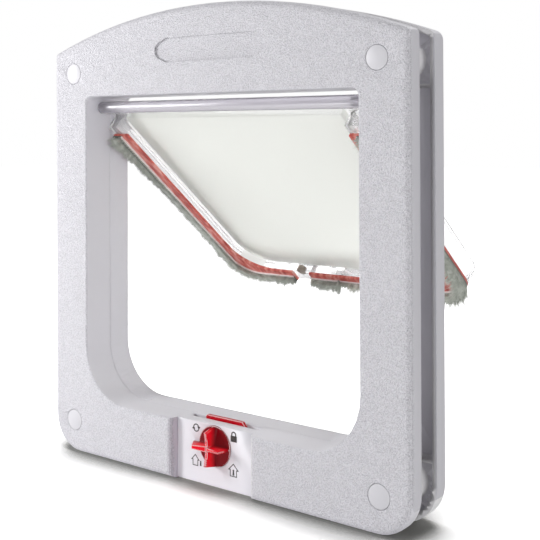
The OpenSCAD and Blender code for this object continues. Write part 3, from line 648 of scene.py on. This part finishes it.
def backing_piece(name, side, node):
    """The woven band that the pile grows from, two rows of light stitches and the film's edge."""
    bm = bmesh.new()
    path = strip_path(side)
    top = TAPE_TOP + BACKING
    ribbon(bm, path, 0.01, -0.01, TAPE_TOP, top)
    for f in ribbon(bm, path, -0.8, 0.0, TAPE_TOP, top + 0.12):
        f.material_index = 2
    for row in (-1.35, -2.15):
        for i in range(0, len(path) - 1, 2):
            a, b = path[i], path[i + 1]
            if a[4] + row < 0.6:
                continue
            half = (a[0] + (b[0] - a[0]) * 0.9, a[1] + (b[1] - a[1]) * 0.9) + a[2:]
            for f in ribbon(bm, [a, half], row - 0.25, row + 0.25, top - 0.05, top + 0.16):
                f.material_index = 1
    bmesh.ops.recalc_face_normals(bm, faces=bm.faces)
    mesh = bpy.data.meshes.new(name)
    bm.to_mesh(mesh)
    bm.free()
    obj = add(name, mesh, "flap", ["backing", "thread", "film"])
    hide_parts(node)


# How far fibres reach from the hinge axis and to each side, so that they clear the tunnel
REACH = 164.6
SIDE_REACH = 91.0
PER_MM2 = 5.0
for label, side, seed in (("left", -1, 11), ("bottom", 0, 23), ("right", 1, 37)):
    pile_piece("pile_" + label, "pile_strip_" + label, side, PER_MM2, seed)
    backing_piece("backing_" + label, side, "pile_strip_" + label)


# Icons

# Depth of the lock panel, in millimetres
PANEL_Y = -3.5


def stroke(points, w, closed=False):
    """Quads, in X and Z, of a line of width w with mitred corners."""
    n = len(points)
    left, right = [], []
    for i in range(n):
        p = Vector(points[i])
        before = Vector(points[i - 1]) if closed or i else None
        after = Vector(points[(i + 1) % n]) if closed or i < n - 1 else None
        d0 = (p - before).normalized() if before is not None else None
        d1 = (after - p).normalized() if after is not None else None
        d = ((d0 or d1) + (d1 or d0)).normalized()
        cos = max(d.dot(d0 or d1), 0.35)
        side = Vector((-d.y, d.x)) * (w / 2 / cos)
        left.append(p + side)
        right.append(p - side)
    last = n if closed else n - 1
    return [(left[i], right[i], right[(i + 1) % n], left[(i + 1) % n]) for i in range(last)]


def icon(name, shapes, cx, cz):
    """Raises flat shapes a little from the lock panel, at a place from the dial's axis in millimetres."""
    bm = bmesh.new()
    for shape in shapes:
        rings = []
        for y in (PANEL_Y - 0.09, PANEL_Y + 0.03):
            rings.append([bm.verts.new(Vector((cx + p[0], y, 1000 * DIAL.z + cz + p[1])) / 1000) for p in shape])
        front, back = rings
        bm.faces.new(front)
        bm.faces.new(back[::-1])
        for i in range(len(shape)):
            j = (i + 1) % len(shape)
            bm.faces.new((front[j], front[i], back[i], back[j]))
    bmesh.ops.recalc_face_normals(bm, faces=bm.faces)
    mesh = bpy.data.meshes.new(name)
    bm.to_mesh(mesh)
    bm.free()
    return add(name, mesh, "frame", ["ink"])


def arc(cx, cz, r, a0, a1, steps=12):
    return [(cx + r * math.cos(math.radians(a0 + (a1 - a0) * i / steps)),
             cz + r * math.sin(math.radians(a0 + (a1 - a0) * i / steps))) for i in range(steps + 1)]


def house(w, h):
    """Outline of a house with wide eaves."""
    e = w * 0.16
    roof = h * 0.48
    pts = [(-w / 2 + e, -h / 2), (-w / 2 + e, h / 2 - roof), (-w / 2, h / 2 - roof), (0, h / 2),
           (w / 2, h / 2 - roof), (w / 2 - e, h / 2 - roof), (w / 2 - e, -h / 2)]
    return stroke(pts, 0.4, closed=True)


def cat(h):
    """A small seated figure: a round head on a tapered body."""
    body = [(-0.55, -h / 2), (0.55, -h / 2), (0.4, h * 0.16), (-0.4, h * 0.16)]
    head = [(0.5 * math.cos(math.tau * i / 10), h * 0.3 + 0.5 * math.sin(math.tau * i / 10))
            for i in range(10)]
    return [body, head]


def moved(shapes, dx, dz):
    return [[(p[0] + dx, p[1] + dz) for p in s] for s in shapes]


padlock = [[(-2.0, -2.6), (2.0, -2.6), (2.0, 0.45), (-2.0, 0.45)]]
padlock += stroke([(-1.3, 0.3), (-1.3, 1.1)] + arc(0, 1.1, 1.3, 180, 0)[1:] + [(1.3, 0.3)], 0.62)
icon("icon_padlock", padlock, 12.8, 7.2)
two_way = stroke(arc(0, 0, 1.85, 160, 15), 0.55) + stroke(arc(0, 0, 1.85, 340, 195), 0.55)
two_way += [[(0.75, 0.75), (2.85, 0.75), (1.8, -0.75)], [(-0.75, -0.75), (-2.85, -0.75), (-1.8, 0.75)]]
icon("icon_two_way", two_way, -12.9, 7.5)
icon("icon_out", moved(house(5.0, 5.6), -0.7, 0) + moved(cat(2.8), 3.0, -1.2), -12.9, -9.5)
icon("icon_in", house(6.2, 6.3) + moved(cat(3.1), 0, -1.1), 12.5, -9.9)


# Floor, light and camera

def seen(tree, kinds):
    """1 for rays of these kinds, else 0."""
    path = tree.nodes.new("ShaderNodeLightPath")
    value = path.outputs[kinds[0]]
    for kind in kinds[1:]:
        n = tree.nodes.new("ShaderNodeMath")
        n.operation = "MAXIMUM"
        tree.links.new(value, n.inputs[0])
        tree.links.new(path.outputs[kind], n.inputs[1])
        value = n.outputs[0]
    return value


def floor():
    """A pale floor that the camera sees as white, with a painted shadow close to the object from an ambient
    occlusion node.
    """
    size = 4.0
    mesh = bpy.data.meshes.new("floor")
    z = cad_box[0][2] - 0.0001
    corners = [(-size, -size, z), (size, -size, z), (size, size, z), (-size, size, z)]
    mesh.from_pydata(corners, [], [(0, 1, 2, 3)])
    s = Shader("pale_floor", (0.9, 0.9, 0.9), 0.7, Specular_IOR_Level=0.2)
    bright = s.node("ShaderNodeBsdfDiffuse")
    near = s.node("ShaderNodeAmbientOcclusion", samples=16)
    near.inputs["Distance"].default_value = 0.1
    # painted shadow: the floor darker where the ambient occlusion node finds the object near
    contact_shadow = s.ramp(near.outputs["AO"], [(0.5, (0.10, 0.10, 0.095)), (0.6, (0.28, 0.28, 0.275)),
                                       (0.68, (0.46, 0.46, 0.455)), (0.8, (0.62, 0.62, 0.62)),
                                       (0.97, (1.0, 1.0, 1.0))])
    s.link(s.mix(1.0, contact_shadow, (FLOOR_GAIN, FLOOR_GAIN, FLOOR_GAIN), "MULTIPLY"), bright.inputs["Color"])
    mixed = s.node("ShaderNodeMixShader")
    s.link(seen(s.tree, ("Is Camera Ray", "Is Transmission Ray")), mixed.inputs[0])
    s.link(s.bsdf.outputs[0], mixed.inputs[1])
    s.link(bright.outputs[0], mixed.inputs[2])
    s.link(mixed.outputs[0], s.tree.nodes["Material Output"].inputs["Surface"])
    mesh.materials.append(s.mat)
    obj = bpy.data.objects.new("floor", mesh)
    bpy.context.scene.collection.objects.link(obj)


def area(name, place, target, size, power):
    light = bpy.data.lights.new(name, "AREA")
    light.shape = "RECTANGLE"
    light.size, light.size_y = size
    light.energy = power
    obj = bpy.data.objects.new(name, light)
    bpy.context.scene.collection.objects.link(obj)
    obj.location = place
    obj.rotation_euler = (Vector(target) - Vector(place)).to_track_quat("-Z", "Y").to_euler()


def surroundings():
    """Even light all round, and white where it is seen itself."""
    world = bpy.data.worlds.new("studio")
    bpy.context.scene.world = world
    world.use_nodes = True
    tree = world.node_tree
    background = tree.nodes["Background"]
    background.inputs["Color"].default_value = (1.0, 1.0, 1.0, 1.0)
    n = tree.nodes.new("ShaderNodeMath")
    n.operation = "MULTIPLY_ADD"
    tree.links.new(seen(tree, ("Is Camera Ray", "Is Transmission Ray")), n.inputs[0])
    n.inputs[1].default_value = 1.0 - AMBIENT
    n.inputs[2].default_value = AMBIENT
    tree.links.new(n.outputs[0], background.inputs["Strength"])


AMBIENT = 0.36
FLOOR_GAIN = 2.95
floor()
surroundings()
area("key", (-0.42, -0.34, 0.14), (0.0, 0.0, 0.0), (0.16, 0.24), 1.9)
area("side", (0.92, -0.55, 0.1), (0.0, 0.0, 0.0), (0.3, 0.5), 2.4)
area("back", (0.1, 0.6, 0.8), (0.0, 0.0, -0.1), (0.5, 0.3), 3.0)

cam_data = bpy.data.cameras.new("camera")
cam = bpy.data.objects.new("camera", cam_data)
bpy.context.scene.collection.objects.link(cam)
# The camera that was fitted to the photograph: its turn in degrees, its place and its level row in pixels
VIEW = (37.838, -0.31, -0.246)
VIEW_FROM = (0.348655, -0.404533, 0.06682)
LEVEL_ROW = 124.5
PHOTO_SIZE = 540.0
az, el, roll = (math.radians(v) for v in VIEW)
back = Vector((math.sin(az) * math.cos(el), -math.cos(az) * math.cos(el), math.sin(el)))
right = Vector((math.cos(az), math.sin(az), 0.0))
up = right.cross(-back)
r2 = right * math.cos(roll) + up * math.sin(roll)
u2 = -right * math.sin(roll) + up * math.cos(roll)
place = Vector(VIEW_FROM)
cam.matrix_world = Matrix((
    (r2.x, u2.x, back.x, place.x), (r2.y, u2.y, back.y, place.y), (r2.z, u2.z, back.z, place.z), (0, 0, 0, 1)))
cam_data.sensor_width = 36.0
cam_data.lens = 67.983
cam_data.shift_x = 0.0
cam_data.shift_y = LEVEL_ROW / PHOTO_SIZE - 0.5
cam_data.clip_start = 0.01
bpy.context.scene.camera = cam
bpy.context.scene.view_settings.view_transform = "Standard"
